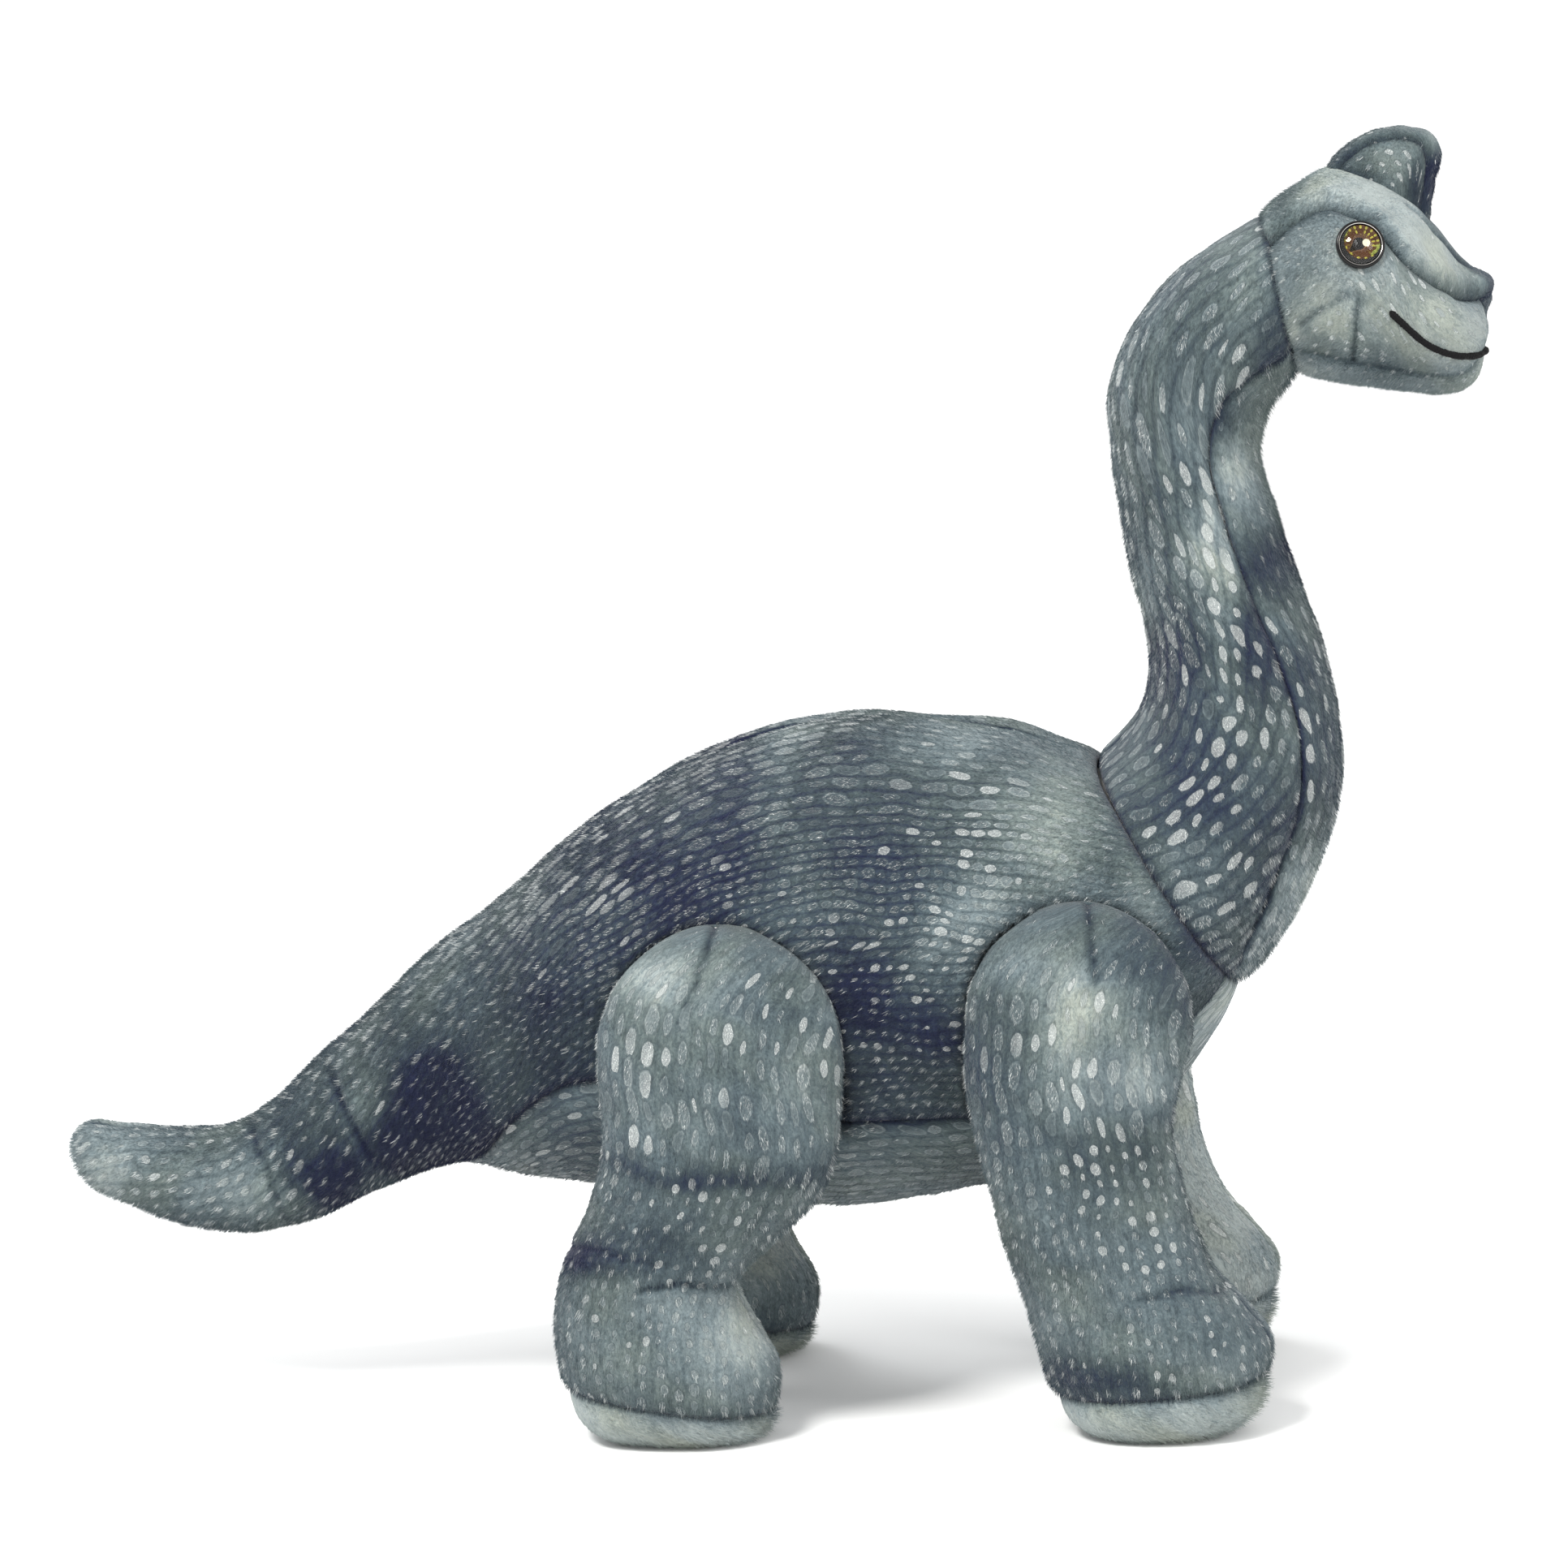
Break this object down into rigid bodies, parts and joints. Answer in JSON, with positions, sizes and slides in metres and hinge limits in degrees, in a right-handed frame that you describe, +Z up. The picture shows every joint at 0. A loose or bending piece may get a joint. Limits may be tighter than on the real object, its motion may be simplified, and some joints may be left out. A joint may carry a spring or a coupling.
{
  "type": "stuffed dinosaur",
  "caption": "Standing long-necked plush dinosaur with a small head crest, thick neck, tapered tail, padded legs and safety eyes; neck, head, tail and legs bend.",
  "frame": {"origin": "on the floor under the middle of the toy's bounding box, between the feet", "axes": "+X towards the snout, +Y towards the toy's left side, +Z up"},
  "size_m": [0.4558, 0.162, 0.393],
  "materials": {
    "velour": "short-pile velour, tie-dyed slate blue-green, with silver foil spots",
    "velour_head": "short-pile velour, tie-dyed, mostly pale",
    "velour_tail": "short-pile velour, tie-dyed, mostly dark",
    "velour_crest": "short-pile velour, dark with a pale top",
    "velour_sole": "short-pile velour, pale, pressed flat",
    "fill": "loose polyester fibre",
    "mouth_thread": "satin-stitched embroidery thread",
    "eye_black": "glossy",
    "eye_iris": "painted brown iris with green flecks, black pupil and a silver ring",
    "eye_clear": "clear, glossy",
    "eye_washer": "moulded"
  },
  "bodies": {
    "torso": {"torso_stuffing": "fill", "body_panel_right": "velour", "body_panel_left": "velour", "belly_panel": "velour"},
    "tail": {"tail_stuffing": "fill", "tail_panel_right": "velour_tail", "tail_panel_left": "velour_tail"},
    "neck": {"neck_stuffing": "fill", "neck_panel_right": "velour", "neck_panel_left": "velour", "throat_panel": "velour"},
    "head": {"head_stuffing": "fill", "head_side_right": "velour_head", "head_side_left": "velour_head", "head_top_panel": "velour_head", "chin_panel": "velour_head", "crest_stuffing": "fill", "crest_side_right": "velour_crest", "crest_side_left": "velour_crest", "crest_gusset": "velour_crest", "mouth_thread": "mouth_thread", "eye_shell_right": "eye_black", "eye_iris_right": "eye_iris", "eye_dome_right": "eye_clear", "eye_washer_right": "eye_washer", "eye_shell_left": "eye_black", "eye_iris_left": "eye_iris", "eye_dome_left": "eye_clear", "eye_washer_left": "eye_washer"},
    "hind_leg_right": {"hind_leg_stuffing_right": "fill", "hind_leg_outer_right": "velour", "hind_leg_inner_right": "velour", "hind_sole_right": "velour_sole"},
    "hind_leg_left": {"hind_leg_stuffing_left": "fill", "hind_leg_outer_left": "velour", "hind_leg_inner_left": "velour", "hind_sole_left": "velour_sole"},
    "fore_leg_right": {"fore_leg_stuffing_right": "fill", "fore_leg_outer_right": "velour", "fore_leg_inner_right": "velour", "fore_sole_right": "velour_sole"},
    "fore_leg_left": {"fore_leg_stuffing_left": "fill", "fore_leg_outer_left": "velour", "fore_leg_inner_left": "velour", "fore_sole_left": "velour_sole"}
  },
  "joints": [
    {"name": "neck_bend", "type": "hinge", "parent": "torso", "child": "neck", "pos_m": [0.1255, 0, 0.16625], "axis": [0, 1, 0], "range_deg": [-12, 12], "stiffness_Nm_per_rad": 2.5},
    {"name": "head_nod", "type": "hinge", "parent": "neck", "child": "head", "pos_m": [0.1645, 0, 0.3445], "axis": [0, 1, 0], "range_deg": [-12, 12], "stiffness_Nm_per_rad": 1},
    {"name": "tail_swing", "type": "hinge", "parent": "torso", "child": "tail", "pos_m": [-0.1005, 0, 0.113], "axis": [-0.0995, 0, 0.995], "range_deg": [-20, 20], "stiffness_Nm_per_rad": 0.6},
    {"name": "hind_leg_right_swing", "type": "hinge", "parent": "torso", "child": "hind_leg_right", "pos_m": [-0.011, -0.065, 0.123], "axis": [0, 1, 0], "range_deg": [-12, 12], "stiffness_Nm_per_rad": 1.5},
    {"name": "hind_leg_left_swing", "type": "hinge", "parent": "torso", "child": "hind_leg_left", "pos_m": [-0.011, 0.065, 0.123], "axis": [0, 1, 0], "range_deg": [-12, 12], "stiffness_Nm_per_rad": 1.5},
    {"name": "fore_leg_right_swing", "type": "hinge", "parent": "torso", "child": "fore_leg_right", "pos_m": [0.099, -0.065, 0.1295], "axis": [0, 1, 0], "range_deg": [-12, 12], "stiffness_Nm_per_rad": 1.5},
    {"name": "fore_leg_left_swing", "type": "hinge", "parent": "torso", "child": "fore_leg_left", "pos_m": [0.099, 0.065, 0.1295], "axis": [0, 1, 0], "range_deg": [-12, 12], "stiffness_Nm_per_rad": 1.5}
  ]
}
